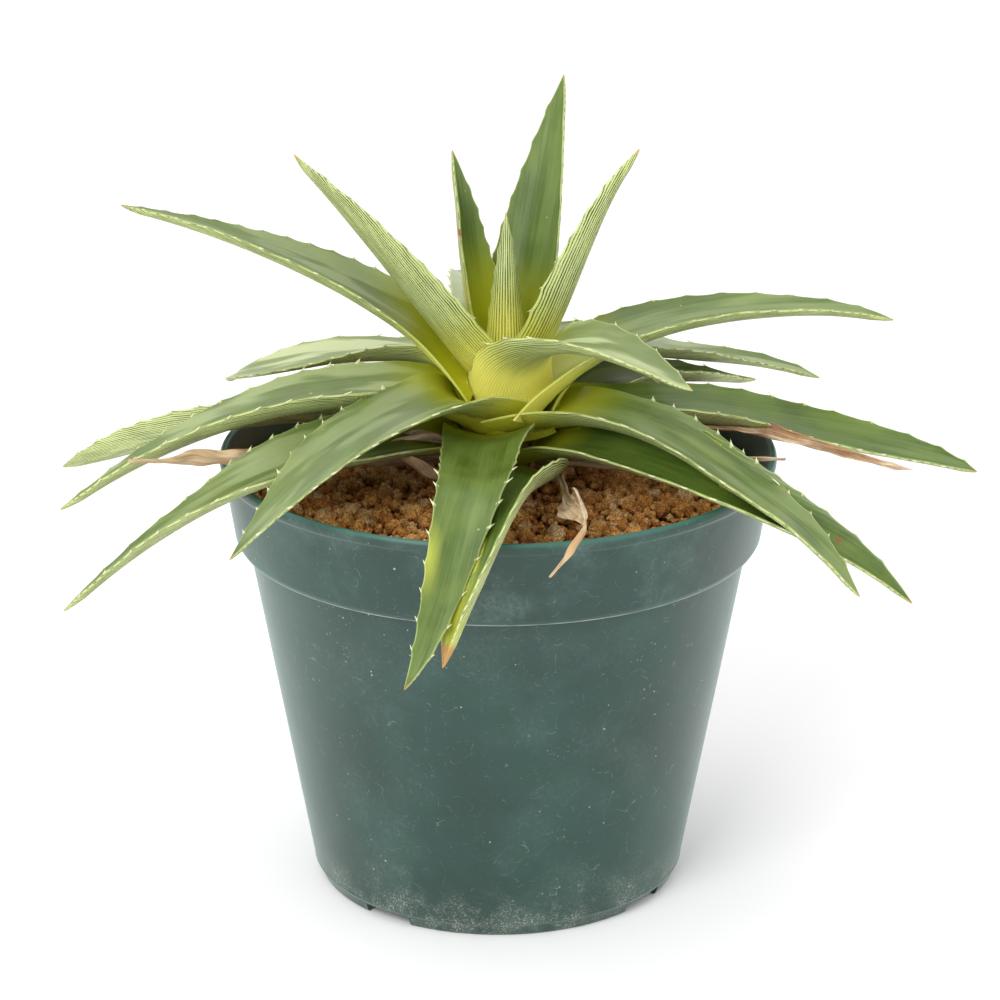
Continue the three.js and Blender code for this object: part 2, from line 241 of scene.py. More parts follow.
# Broad patches from 0 to 1
mottle, taken, given = newGroup("mottle", Place=None, Spacing=10.0, Low=0.35, High=0.65)
patches = noiseAt(mottle, taken["Place"], maths(mottle, "DIVIDE", 1.0, taken["Spacing"]), 3.0, 0.55)
mottle.links.new(ease(mottle, patches, taken["Low"], taken["High"]), given)

# Fine curling scratches: the line where a noise passes its middle, broken into short lengths
hairScratches, taken, given = newGroup("hairScratches", Place=None, Spacing=12.0, Width=0.006, Share=0.5)
density = maths(hairScratches, "DIVIDE", 1.0, taken["Spacing"])
wander = noiseAt(hairScratches, taken["Place"], density, 1.0, 0.4)
offLine = maths(hairScratches, "ABSOLUTE", maths(hairScratches, "SUBTRACT", wander, 0.5))
thread = ease(hairScratches, offLine, 0.0, taken["Width"], 1.0, 0.0)
breaks = noiseAt(hairScratches, taken["Place"], times(hairScratches, density, 3.1), 2.0, 0.5)
kept = ease(hairScratches, breaks, taken["Share"], plus(hairScratches, taken["Share"], 0.08))
hairScratches.links.new(times(hairScratches, thread, kept), given)

# Streaks along a leaf: Across and Along are in millimetres, and Drawn is a streak's length over its width
streaks, taken, given = newGroup("streaks", Across=0.0, Along=0.0, Seed=0.0, Width=1.0, Drawn=30.0)
sideways = maths(streaks, "DIVIDE", taken["Across"], taken["Width"])
lengthwise = maths(streaks, "DIVIDE", taken["Along"], times(streaks, taken["Width"], taken["Drawn"]))
sheet = addNode(streaks, "ShaderNodeCombineXYZ", {0: sideways, 1: lengthwise, 2: taken["Seed"]}).outputs[0]
streaks.links.new(ease(streaks, noiseAt(streaks, sheet, 1.0, 2.0, 0.5), 0.3, 0.7), given)
print("shared effects built")


# Mesh helpers

creaseAngle = math.radians(42)


def linkPiece(name, mesh, material, nodes):
    piece = bpy.data.objects.new(name, mesh)
    mesh.materials.clear()
    mesh.materials.append(material)
    scene.collection.objects.link(piece)
    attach(piece, "root")
    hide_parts(*nodes)
    return piece


def setReadings(mesh, readings):
    # Numbers at the mesh's points, for its material to read
    for key, values in readings.items():
        mesh.attributes.new(key, "FLOAT", "POINT").data.foreach_set("value", values)


def meshFrom(name, points, faces, readings=None):
    mesh = bpy.data.meshes.new(name)
    mesh.from_pydata([inFrame(point) for point in points], [], faces)
    setReadings(mesh, readings or {})
    faceOutward(mesh)
    return mesh


@contextmanager
def opened(mesh):
    # The mesh as one that bmesh can change, written back afterwards
    shell = bmesh.new()
    shell.from_mesh(mesh)
    yield shell
    shell.to_mesh(mesh)
    shell.free()


def faceOutward(mesh):
    with opened(mesh) as shell:
        bmesh.ops.recalc_face_normals(shell, faces=shell.faces)
        for edge in shell.edges:
            edge.smooth = edge.calc_face_angle(0) < creaseAngle
        for face in shell.faces:
            face.smooth = True


def lathe(profile, sides, centre=(0, 0)):
    # Points and faces of a profile of radius and height turned about Z, with a point where the radius is 0
    points, rows, faces = [], [], []
    for radius, height in profile:
        count = 1 if radius == 0 else sides
        rows.append([len(points) + i % count for i in range(sides)])
        for i in range(count):
            angle = 2 * math.pi * i / sides
            x, y = centre[0] + radius * math.cos(angle), centre[1] + radius * math.sin(angle)
            points.append((x, y, height))
    for lower, upper in zip(rows, rows[1:]):
        for i in range(sides):
            j = (i + 1) % sides
            faces.append(tuple(dict.fromkeys((lower[i], lower[j], upper[j], upper[i]))))
    return points, faces


def rounded(profile, radius):
    # The profile with each corner cut by a short curve, which takes at most 0.4 of either side
    out = [profile[0]]
    for before, corner, after in zip(profile, profile[1:], profile[2:]):
        a, b, c = Vector(before), Vector(corner), Vector(after)
        reach = min(radius, (a - b).length * 0.4, (c - b).length * 0.4)
        start = b + (a - b).normalized() * reach
        end = b + (c - b).normalized() * reach
        for t in (0, 1 / 3, 2 / 3, 1):
            out.append(tuple((1 - t) ** 2 * start + 2 * t * (1 - t) * b + t * t * end))
    return out + [profile[-1]]


def cut(piece, cutters):
    # Takes the cutters' shapes out of the piece for good
    for cutter in cutters:
        step = piece.modifiers.new(cutter.name, "BOOLEAN")
        step.operation = "DIFFERENCE"
        step.solver = "MANIFOLD"
        step.object = cutter
    shaped = bpy.data.meshes.new_from_object(piece.evaluated_get(bpy.context.evaluated_depsgraph_get()))
    piece.modifiers.clear()
    piece.data = shaped


def keepLargestShell(mesh):
    # Drops every loose scrap but the biggest body
    with opened(mesh) as shell:
        unseen = set(shell.verts)
        groups = []
        while unseen:
            group = [unseen.pop()]
            for vert in group:
                for edge in vert.link_edges:
                    other = edge.other_vert(vert)
                    if other in unseen:
                        unseen.remove(other)
                        group.append(other)
            groups.append(group)
        groups.sort(key=len)
        for group in groups[:-1]:
            bmesh.ops.delete(shell, geom=group, context="VERTS")


def looseObject(mesh):
    made = bpy.data.objects.new(mesh.name, mesh)
    scene.collection.objects.link(made)
    return made


def meshOutOf(piece):
    # The mesh of an object that is no longer needed
    mesh = piece.data
    bpy.data.objects.remove(piece)
    return mesh


# Pot

pot = {
    "height": 121.5, "rimRadius": 75.0, "wall": 1.7,
    "bandBottom": 97.2, "bodyTopRadius": 67.7, "bodyFootRadius": 51.0,
    "footRadius": 49.2, "footWidth": 4.5, "floorHeight": 3.2, "floorThick": 2.0,
    "notchAngles": (-127, -37, 53, 143), "notchWidth": 14.5, "notchHeight": 2.8, "notchDepth": 14,
    "drainRadius": 4.5, "drainRing": 34.0, "middleDrainRadius": 7.0, "drainLow": -2, "drainTop": 9,
    "drainSides": 40, "middleDrainSides": 56,
    "sides": 192, "cornerRadius": 0.5,
    "plastic": "#1f4038", "shade": "#1c3730", "bloom": "#7f9a94", "mineral": "#b9c0b4", "flash": "#a9bab4",
    # A painted sheen where the pot turns away from the view takes the pale grey-green on the next line and
    # the first strength after it
    "lip": "#2f6b5d", "paintedSheen": "#93a9a3", "roughness": 0.42, "relief": 0.12,
    "paintedSheenStrength": 0.8, "crustStrength": 0.5, "dropStrength": 0.5, "speckStrength": 0.6,
    "scratchStrength": 0.17, "hairStrength": 0.13, "lipStrength": 0.6,
}

floorTop = pot["floorHeight"] + pot["floorThick"]
cavity = [
    (pot["bodyFootRadius"] - pot["wall"] - 0.7, floorTop),
    (pot["bodyFootRadius"] - pot["wall"] + 0.4, floorTop + 2),
    (pot["bodyTopRadius"] - pot["wall"], pot["bandBottom"]),
    (pot["rimRadius"] - 5.5, pot["bandBottom"] + 2.6),
    (pot["rimRadius"] - 2.9, pot["height"] - 4.4),
]


def makeNotch(way):
    block = bpy.data.meshes.new("notch")
    with opened(block) as box:
        bmesh.ops.create_cube(box, size=1)
        size = Matrix.Diagonal((pot["notchDepth"], pot["notchWidth"], 2 * pot["notchHeight"], 1))
        turned = Matrix.Rotation(way, 4, "Z") @ Matrix.Translation((pot["footRadius"], 0, 0)) @ size
        for vert in box.verts:
            vert.co = inFrame(turned @ vert.co)
    return looseObject(block)


def makeDrain(radius, sides, hole):
    low, top = pot["drainLow"], pot["drainTop"]
    profile = [(0, low), (radius, low), (radius, top), (0, top)]
    return looseObject(meshFrom("drain", *lathe(profile, sides, hole)))


def makePot():
    rim, band, top = pot["rimRadius"], pot["bandBottom"], pot["height"]
    foot, body = pot["footRadius"], pot["bodyFootRadius"]
    inner = foot - pot["footWidth"]
    profile = [
        (inner, pot["floorHeight"]), (inner, 0), (foot - 0.5, 0), (foot, 0.5),
        (body - 0.8, pot["floorHeight"]), (body, pot["floorHeight"] + 0.8), (body, pot["floorHeight"] + 1.6),
        (pot["bodyTopRadius"], band), (rim - 4.9, band + 0.2), (rim - 3.9, band + 1.8),
        (rim - 1.2, top - 5.0), (rim - 0.9, top - 3.6), (rim - 0.2, top - 2.9), (rim, top - 1.2),
        (rim - 0.7, top), (rim - 1.8, top - 0.5), (rim - 2.3, top - 2.0),
        *reversed(cavity),
    ]
    profile = [(0, pot["floorHeight"]), *rounded(profile, pot["cornerRadius"]), (0, floorTop)]
    shell = looseObject(meshFrom("pot_shell", *lathe(profile, pot["sides"])))
    cutters = []
    for angle in pot["notchAngles"]:
        way = math.radians(angle)
        cutters.append(makeNotch(way))
        hole = (pot["drainRing"] * math.cos(way), pot["drainRing"] * math.sin(way))
        cutters.append(makeDrain(pot["drainRadius"], pot["drainSides"], hole))
    cutters.append(makeDrain(pot["middleDrainRadius"], pot["middleDrainSides"], (0, 0)))
    cut(shell, cutters)
    for cutter in cutters:
        bpy.data.objects.remove(cutter)
    mesh = meshOutOf(shell)
    faceOutward(mesh)
    return mesh


def makePotPlastic():
    material, tree, shader = newMaterial("dustyPlastic", pot["roughness"])
    here = placeInMillimetres(tree)
    height = addNode(tree, "ShaderNodeSeparateXYZ", {0: here}).outputs[2]
    band, top = pot["bandBottom"], pot["height"]

    # The moulding's own colour is a little uneven, and a painted sheen pales it where it turns away from the
    # view
    uneven = useGroup(tree, mottle, Place=here, Spacing=38.0)
    glancing = addNode(tree, "ShaderNodeLayerWeight", {"Blend": 0.5}).outputs["Facing"]
    paintedSheen = times(tree, maths(tree, "POWER", glancing, 4.5), pot["paintedSheenStrength"])

    # Dust: a thin bloom in patches, more of it on the band
    cloud = useGroup(tree, mottle, Place=here, Spacing=22.0, Low=0.42, High=0.75)
    grain = useGroup(tree, mottle, Place=here, Spacing=1.1, Low=0.3, High=0.8)
    onBand = ease(tree, height, band - 1, band + 3)
    dust = times(tree, cloud, scaled(tree, onBand, 0.22, 0.10))
    dust = times(tree, dust, scaled(tree, grain, 0.8, 0.5))

    # Mineral crust dried on round the foot
    crust = ease(tree, height, 1.0, scaled(tree, cloud, 9.0, 17.0), 1.0, 0.0)
    grains = useGroup(tree, whiteSpecks, Place=here, Spacing=0.4, Share=0.55, Radius=0.75)
    blot = useGroup(tree, mottle, Place=here, Spacing=6.5, Low=0.38, High=0.66)
    crust = times(tree, crust, times(tree, scaled(tree, grains, 0.85, 0.22), plus(tree, blot, 0.14)))

    # Spatter in patches, specks and hair scratches
    drops = useGroup(tree, whiteSpecks, Place=here, Spacing=0.9, Share=0.4, Radius=0.32)
    splash = useGroup(tree, mottle, Place=here, Spacing=17.0, Low=0.57, High=0.7)
    specks = useGroup(tree, whiteSpecks, Place=here, Spacing=3.4, Share=0.35, Radius=0.1)
    scratches = useGroup(tree, hairScratches, Place=here, Spacing=8.0, Width=0.005, Share=0.5)
    hairs = useGroup(tree, hairScratches, Place=here, Spacing=3.4, Width=0.009, Share=0.54)

    # The pale flash line under the band, and the lip
    under = ease(tree, height, band - 0.5, band - 0.05)
    line = times(tree, under, ease(tree, height, band + 0.3, band + 0.9, 1.0, 0.0))
    broken = useGroup(tree, mottle, Place=here, Spacing=8.0, Low=0.25, High=0.6)
    line = times(tree, line, scaled(tree, broken, 0.6, 0.25))
    lip = ease(tree, height, top - 1.6, top - 0.6)

    colour = coats(tree, mixColour(tree, uneven, pot["shade"], pot["plastic"]), [
        # painted sheen at glancing angles
        (paintedSheen, pot["paintedSheen"]),
        (dust, pot["bloom"]),
        (maths(tree, "MULTIPLY", crust, pot["crustStrength"], clamp=True), pot["mineral"]),
        (times(tree, times(tree, drops, splash), pot["dropStrength"]), pot["mineral"]),
        (times(tree, specks, pot["speckStrength"]), pot["mineral"]),
        (times(tree, scratches, pot["scratchStrength"]), pot["mineral"]),
        (times(tree, hairs, pot["hairStrength"]), pot["mineral"]),
        (line, pot["flash"]),
        (times(tree, lip, pot["lipStrength"]), pot["lip"]),
    ])

    dull = plus(tree, times(tree, dust, 0.8), times(tree, crust, 0.4))
    roughness = plus(tree, times(tree, uneven, 0.08), dull)
    roughness = maths(tree, "ADD", roughness, pot["roughness"] - 0.05, clamp=True)
    relief = plus(tree, times(tree, crust, 0.5), times(tree, uneven, 0.6))
    relief = plus(tree, relief, times(tree, grain, 0.06))
    finishSurface(tree, shader, colour, relief, pot["relief"], roughness)
    return material


linkPiece("pot_moulding", makePot(), makePotPlastic(), ["pot"])
print("pot made")


# Soil: a bed under loose clay granules and crumbs

soil = {
    "top": 109.5, "gap": 0.3, "unevenness": 1.6, "swell": 22, "reach": 80, "trunkRoom": 9.5,
    "bedRings": 24, "bedSides": 96, "bedDrop": 0.8, "bedRough": 0.7, "bedGrain": 2.4,
    "layers": {
        "under": dict(pitch=4.8, radius=(1.7, 2.4), lift=(-2.4, -1.2), fineness=2, seed=4),
        "front": dict(pitch=4.9, radius=(1.5, 3.1), lift=(0.4, 3.0), fineness=3, seed=9, side=-1),
        "back": dict(pitch=4.9, radius=(1.5, 3.1), lift=(0.4, 3.0), fineness=3, seed=15, side=1),
        "crumbs": dict(pitch=3.6, radius=(0.6, 1.3), lift=(1.6, 3.4), fineness=2, seed=21),
    },
    "stretch": ((0.85, 1.2), (0.8, 1.1), (0.7, 1.0)), "rowSpacing": 0.87,
    # On the next line one strength paints light on each granule's top and shade under it
    "scatter": 0.9, "lumps": 0.46, "paintedLightByHeight": 0.34, "tone": 0.36, "toneSpread": 0.26, "bedPaintedShadeTone": 0.18,
    # The dark brown at the end of the next line is painted shade in the pores
    "roughness": 0.95, "relief": 0.35, "paintedPoreShade": "#3a200c",
    "colours": [(0.0, "#8a4e20"), (0.3, "#ce8a44"), (0.6, "#eeac5c"), (0.88, "#f6c27e"), (1.0, "#f8d09a")],
}

trunk = {
    "centre": (2, 3), "radius": 8.0, "foot": 78.0, "top": 146.0,
    "scars": 3.1, "scarDepth": 0.35, "neck": 16, "neckDepth": 3, "steps": 60, "sides": 40,
    "young": "#a8a24a", "old": "#7b6236", "scar": "#4a3520", "roughness": 0.7, "relief": 0.3,
}


def soilHeight(x, y):
    return soil["top"] + soil["unevenness"] * noise.noise(Vector((x / soil["swell"], y / soil["swell"], 3.1)))


def cavityRadius(height):
    for (lowRadius, low), (highRadius, high) in zip(cavity, cavity[1:]):
        if height <= high:
            return lowRadius + (highRadius - lowRadius) * (height - low) / (high - low)
    return cavity[-1][0]


def makeSoilBed():
    lining = [(r - 2 * soil["gap"], z + soil["gap"]) for r, z in cavity[:-1]]
    reach = cavityRadius(soil["top"]) - 2 * soil["gap"]
    rings = [reach * (1 - i / soil["bedRings"]) for i in range(soil["bedRings"])]
    profile = [(0, floorTop + soil["gap"]), *lining, *((r, soil["top"]) for r in rings), (0, soil["top"])]
    points, faces = lathe(profile, soil["bedSides"])
    raised = []
    for x, y, z in points:
        if z >= soil["top"]:
            grain = noise.noise(Vector((x / soil["bedGrain"], y / soil["bedGrain"], 0)))
            z = soilHeight(x, y) - soil["bedDrop"] + soil["bedRough"] * grain
        raised.append((x, y, z))
    # The bed takes one low tone: painted shade where it shows between the granules
    return meshFrom("soil_bed", raised, faces, {"tone": [soil["bedPaintedShadeTone"]] * len(raised)})


def granuleTemplate(fineness):
    ball = bpy.data.meshes.new("granule")
    with opened(ball) as shell:
        bmesh.ops.create_icosphere(shell, subdivisions=fineness, radius=1)
    return [vert.co.copy() for vert in ball.vertices], [tuple(face.vertices) for face in ball.polygons]


def makeGranules(name, layer):
    draw = random.Random(layer["seed"])
    ball, ballFaces = granuleTemplate(layer["fineness"])
    points, faces, tonesWithPaintedLight = [], [], []
    pitch, scatter = layer["pitch"], soil["scatter"]
    count = int(soil["reach"] / pitch)
    for row in range(-count, count + 1):
        for column in range(-count, count + 1):
            x = (column + (row % 2) / 2) * pitch + draw.uniform(-scatter, scatter)
            y = row * pitch * soil["rowSpacing"] + draw.uniform(-scatter, scatter)
            radius = draw.uniform(*layer["radius"])
            lift = draw.uniform(*layer["lift"])
            tone = clamp(draw.gauss(soil["tone"], soil["toneSpread"]))
            stretch = Vector([draw.uniform(low, high) for low, high in soil["stretch"]]) * radius
            turn = Euler([draw.uniform(0, 6.28) for _ in range(3)]).to_matrix()
            height = soilHeight(x, y) + lift
            if math.hypot(x, y) > cavityRadius(height) - radius * 1.25 - soil["gap"]:
                continue
            if math.hypot(x - trunk["centre"][0], y - trunk["centre"][1]) < soil["trunkRoom"]:
                continue
            if y * layer.get("side", 0) < 0:
                continue
            first = len(points)
            shift = Vector((row, column, layer["seed"])) * 7.3
            for corner in ball:
                swell = noise.noise(corner * 1.1 + shift) * 0.9 + noise.noise(corner * 3.4 + shift) * 0.75
                place = turn @ (corner * stretch * (1 + soil["lumps"] * swell))
                points.append((x + place.x, y + place.y, height + place.z))
                # Each granule's tone is raised towards its top and lowered underneath: painted light on top,
                # painted shade beneath
                tonesWithPaintedLight.append(clamp(tone + soil["paintedLightByHeight"] * place.z / radius))
            faces.extend(tuple(first + i for i in face) for face in ballFaces)
    return meshFrom(name, points, faces, {"tone": tonesWithPaintedLight})


def makeClay():
    material, tree, shader = newMaterial("porousClay", soil["roughness"], 0.25)
    here = placeInMillimetres(tree)
    patch = useGroup(tree, mottle, Place=here, Spacing=1.6, Low=0.25, High=0.75)
    pores = useGroup(tree, mottle, Place=here, Spacing=0.45, Low=0.3, High=0.62)
    tone = maths(tree, "ADD", reading(tree, "tone"), scaled(tree, patch, 0.3, -0.15), clamp=True)
    colour = colourRamp(tree, tone, soil["colours"])
    # Painted shade in the pores: darker where the fine pore pattern sinks
    colour = mixColour(tree, scaled(tree, pores, -0.6, 0.6), colour, soil["paintedPoreShade"])
    relief = plus(tree, pores, times(tree, patch, 0.8))
    finishSurface(tree, shader, colour, relief, soil["relief"])
    return material


clay = makeClay()
linkPiece("soil_bed", makeSoilBed(), clay, ["soil"])
for layerName, layer in soil["layers"].items():
    name = "soil_crumbs" if layerName == "crumbs" else "soil_granules_" + layerName
    linkPiece(name, makeGranules(name, layer), clay, ["soil"])
print("soil laid")


# Trunk

def makeTrunk():
    foot, top, radius = trunk["foot"], trunk["top"], trunk["radius"]
    profile = [(0, foot), (5, foot)]
    low, high = foot + 5, top - 3
    for i in range(trunk["steps"] + 1):
        height = low + (high - low) * i / trunk["steps"]
        narrowing = max(0, (height - top + trunk["neck"]) / (high - top + trunk["neck"]))
        ridge = trunk["scarDepth"] * (1 - abs((height / trunk["scars"]) % 1 - 0.5) * 2)
        profile.append((radius - 0.6 - ridge - trunk["neckDepth"] * narrowing, height))
    return meshFrom("stem", *lathe([*profile, (2.6, top), (0, top)], trunk["sides"], trunk["centre"]))


def makeStemSkin():
    material, tree, shader = newMaterial("stemSkin", trunk["roughness"])
    here = placeInMillimetres(tree)
    height = addNode(tree, "ShaderNodeSeparateXYZ", {0: here}).outputs[2]
    ring = maths(tree, "FRACT", maths(tree, "DIVIDE", height, trunk["scars"]))
    scar = ease(tree, maths(tree, "ABSOLUTE", maths(tree, "SUBTRACT", ring, 0.5)), 0.3, 0.5)
    fibre = useGroup(tree, mottle, Place=here, Spacing=2.0)
    colour = mixColour(tree, fibre, trunk["young"], trunk["old"])
    colour = mixColour(tree, times(tree, scar, 0.6), colour, trunk["scar"])
    finishSurface(tree, shader, colour, plus(tree, fibre, scar), trunk["relief"])
    return material


linkPiece("stem", makeTrunk(), makeStemSkin(), ["trunk"])
print("stem made")


# Leaves

# From the heart outwards, in the same terms as the solids: turn, root height, distance out, length, width,
# rise of the middle line, its sweep sideways and its roll. yellow is how far the yellow reaches, pale how
# pale it is underneath, fade how far the lines fade into it, veins the share of the usual lines, tip how far
# the tip has browned and thorns the share of the usual size. Marks are given along, across, radius.
# bloom is how much waxy bloom the upper face has, partly a painted sheen on the leaves that catch more light
leaves = {
    "leaf_01": dict(
        turn=-90, root=146, out=3, long=42, wide=10.6, full=0.15, taper=1.15, rise=(80, 86, 88, 90),
        yellow=30, pale=1, veins=0.66, thorns=0.5, fade=0.3),
    "leaf_02": dict(
        turn=140, root=145, out=4, long=57, wide=13, rise=(68, 76, 78, 72), yellow=38, pale=0.7,
        thorns=0.55, fade=0.3, veins=0.7, stains=[(0.62, 0.9, 1.6)]),
    "leaf_03": dict(
        turn=-28, root=144, out=5, long=73, wide=17, rise=(58, 66, 64, 52), yellow=32, bloom=0.04, pale=0.5,
        thorns=0.6, fade=0.3, veins=0.72),
    "leaf_04": dict(
        turn=-150, root=141, out=5, long=90, wide=26, sheath=0.1, wrap=1.05, rise=(50, 52, 50, 47),
        yellow=36, bloom=0.04, pale=0.8, thorns=0.6, fade=0.45),
    "leaf_05": dict(
        turn=55, root=142, out=3, long=80, wide=22, rise=(68, 74, 74, 76), sweep=(0, -3, -6), yellow=34,
        bloom=0.05, pale=0.9, thorns=0.65, fade=0.3),
    "leaf_06": dict(
        turn=-82, root=135.6, out=9, long=79.8, wide=23, open=0.86, rise=(77, 38, 11, -10, -13),
        sweep=(32, 43, 38), roll=(-13, 20), yellow=36, bloom=0.5, pale=1, thorns=0.8),
    "leaf_07": dict(
        turn=-178.7, root=141.2, out=6, long=121.4, wide=20, sheath=0.34, wrap=0.35, open=0.55,
        rise=(42.4, 35.8, 28.4, 24.7, 19.8), sweep=(23.4, 31.6, 40), roll=(-36.4, -1.9), yellow=44,
        bloom=0.25, pale=0.9, thorns=0.8),
    "leaf_08": dict(
        turn=2, root=132.7, out=6, long=106.8, wide=24.7, sheath=1, wrap=0.5, open=0.58,
        rise=(55, 21.6, 7.8, 3.4, -6.3), sweep=(11.8, -6, -30), roll=(-0.2, 1.2), yellow=38, bloom=0.14,
        pale=0.7, thorns=0.8),
    "leaf_09": dict(
        turn=100, root=134, out=7, long=80, wide=20, rise=(45, 20, -5, -15), yellow=28, bloom=0.4),
    "leaf_10": dict(
        turn=-39, root=131, long=121.3, wide=24, sheath=0.6, wrap=0.36, open=0.53,
        rise=(22, 7, -8.6, -19.3, -14.7, -21.5, -25), sweep=(3, -9, -23), roll=(0, -11), yellow=30,
        bloom=0.12),
    "leaf_11": dict(
        turn=-131.4, root=126.4, long=117, wide=26.1, sheath=0.55, wrap=1.12, open=0.38,
        rise=(78, 14.8, -5.6, -7.1, -9, -17.1, -31.9), sweep=(-2, 15.2, 1), roll=(-2, 11), yellow=34,
        bloom=0.2),
    "leaf_12": dict(
        turn=-166, root=129.6, long=120.6, wide=25.8, wrap=0.83, rise=(36, 8, -5, -17, -26, -33),
        sweep=(2, -2, 1), roll=(-8, 15), yellow=28, bloom=0.32),
    "leaf_13": dict(
        turn=-11, root=128.8, long=127.5, wide=29, open=0.6, rise=(14, -3, -15, -8, 2),
        sweep=(25, 9, -45), roll=(-13, 22), yellow=26, bloom=0.04, stains=[(0.74, -0.25, 1.3)]),
    "leaf_14": dict(
        turn=-103.2, root=127.2, long=121.2, wide=22, sheath=0.39, wrap=0.6, open=0.55, full=0.02,
        taper=2.03, rise=(16.2, 0.1, 2.8, -35.1, -39.3, -18.4), sweep=(9.1, -4.1, -9.3), roll=(9.4, -15.4),
        yellow=16, bloom=0.04, tip=0.3, blanch=(0.68, -1.0, 5)),
    "leaf_15": dict(
        turn=141.7, root=134.9, long=94.8, wide=24, open=0.35, rise=(43.5, -6.3, -8.3, -17.8, -30.1),
        sweep=(2.1, 33.7, -58.9), roll=(25.4, -24), yellow=22, bloom=0.7),
    "leaf_16": dict(
        turn=30, root=131.9, long=113.9, wide=25.2, wrap=0.59, open=0.45,
        rise=(70.1, -7.2, -18, -14.3, -5.3), sweep=(13.9, 14.7, -78), roll=(5.1, -0.3), yellow=22,
        bloom=0.35),
    "leaf_17": dict(
        turn=64, root=131, long=88, wide=24, rise=(20, 0, -20, -35), yellow=22, bloom=0.4),
    "leaf_18": dict(
        turn=-153, root=123.3, long=132, wide=25.6, open=0.6, rise=(21, 4, -3, -27, -36, -42),
        sweep=(11, -22, -13), roll=(-22, 15), yellow=34, bloom=0.22),
    "leaf_19": dict(
        turn=-38.5, root=122, long=125, wide=26.7, sheath=0, wrap=0.72,
        rise=(28, 6, -5, -18, -24, -39), sweep=(-4, 15, 11), roll=(14, 18), yellow=24, bloom=0.02,
        stains=[(0.8, 0.3, 1.8)]),
    "leaf_20": dict(
        turn=120, root=123, long=100, wide=24, rise=(22, 7, -20, -32), yellow=22, bloom=0.5),
    "leaf_21": dict(
        turn=168, root=122.3, long=124.5, wide=26, open=0.65, rise=(14, 7, -9, -21, -27),
        sweep=(16, -2, -30), roll=(-7, 60), yellow=22, bloom=0.3),
    "leaf_22": dict(
        turn=38, root=122, long=85, wide=24, rise=(34, 5, -12, -16), yellow=20, bloom=0.3),
    "leaf_23": dict(
        turn=-74.7, root=118.7, long=111.1, wide=25.2, sheath=0.09, wrap=0.47, open=1.4, full=0.5,
        taper=1.8, rise=(8.8, 13.5, 4.4, -11.7, -44.3, -59.4), sweep=(-28.2, -27.6, -53.5),
        roll=(-25.9, 28.8), yellow=22, thorns=0.45, bloom=0.03, tip=0.8, blanch=(0.9, -0.3, 9)),
    "leaf_24": dict(
        turn=92, root=124, long=92, wide=24, rise=(16, 5, -20, -34), yellow=22, bloom=0.3),
}

dryLeaves = {
    "dry_leaf_1": dict(
        turn=-163.6, root=117.6, long=96.1, wide=9, rise=(6, 4, 9, 5, 7), sweep=(6, 0, 1),
        roll=(0, 50), tone=0.25, widths=(1, 1, 1.1, 1.5, 1.9, 2.2, 1.2)),
    "dry_leaf_2": dict(
        turn=-48, root=120.2, long=99.3, wide=7, full=0.6, taper=1, rise=(18, -10, 13, 13, -5, -46),
        sweep=(-36, -37, -40, -102), roll=(20, 90), tone=0.35,
        widths=(0.4, 0.2, 0.16, 0.35, 1.2, 1.3, 0.5, 0.45, 0.4)),
    "dry_leaf_3": dict(
        turn=-1, root=121, long=103.5, wide=9, rise=(24, 4, -12, -13), sweep=(-7, -11, 2),
        roll=(0, 50), tone=0.8, widths=(1, 0.9, 1.1, 0.8, 1.2)),
    "dry_leaf_4": dict(
        turn=-18.2, root=117.3, long=68.6, wide=5, rise=(2, 4, 10, 7), sweep=(1, 5, 6), roll=(0, 30),
        tone=0.3),
    "dry_leaf_5": dict(
        turn=-136.6, root=116.3, long=40.2, wide=11, rise=(-5, 11, 41, 31), sweep=(14, -11, -15),
        roll=(0, 20), tone=0.6),
    "dry_leaf_6": dict(
        turn=-130.6, root=120.2, long=61.8, wide=7, full=0.5, rise=(30, 22, -9, 8, -33),
        sweep=(-23, 10, 59), roll=(0, 30), tone=0.7),
    "dry_leaf_7": dict(
        turn=40.5, root=134.7, long=39.6, wide=7, rise=(7, 17, 42, 110, 110), sweep=(-1, -15, -26),
        roll=(0, 20), tone=0.15),
}

growth = {
    "thick": 3.4, "edge": 0.55, "dryThick": 0.9, "dryEdge": 0.35, "thinning": 0.62,
    "out": 8, "dryOut": 9, "full": 0.3, "taper": 1.5, "sheath": 0.2, "sheathShare": 0.25,
    "open": 0.75, "wrap": 1.1, "dryOpen": 1.3, "dryWrap": 1.3, "opening": 0.15,
    "acrossCount": 21, "stationStep": 1.3, "midlineSteps": 60, "tipLong": 6, "tipCut": 0.4,
    "ridge": 0.13, "wave": 0.3, "waveLong": 9, "crumple": 1.1, "crumpleLong": 7,
    "room": 0.22, "above": 2.2, "roomCount": 13, "roomStep": 3,
    "spineLong": 2.2, "spineBase": 2.1, "spineThick": 0.7, "spineSpacing": (6.2, 10.0), "spineHook": -0.4,
    "spineStart": 0.25, "spineEnd": 6, "spineSides": 6, "bulge": 0.45, "bulgeLong": 1.4,
    "smallLeaf": 60, "smallLeafSpacing": 0.7, "spineReach": 0.6, "spineClear": 0.3, "spineLook": 40,
}


def through(values, s):
    # A value that runs smoothly through evenly spaced ones
    last = len(values) - 1
    at = clamp(s) * last
    i = min(int(at), last - 1)
    t = at - i
    b, c = values[i], values[i + 1]
    a = values[i - 1] if i > 0 else 2 * b - c
    d = values[i + 2] if i + 2 <= last else 2 * c - b
    square, cube = 2 * a - 5 * b + 4 * c - d, 3 * b - a - 3 * c + d
    return 0.5 * (2 * b + (c - a) * t + square * t * t + cube * t ** 3)


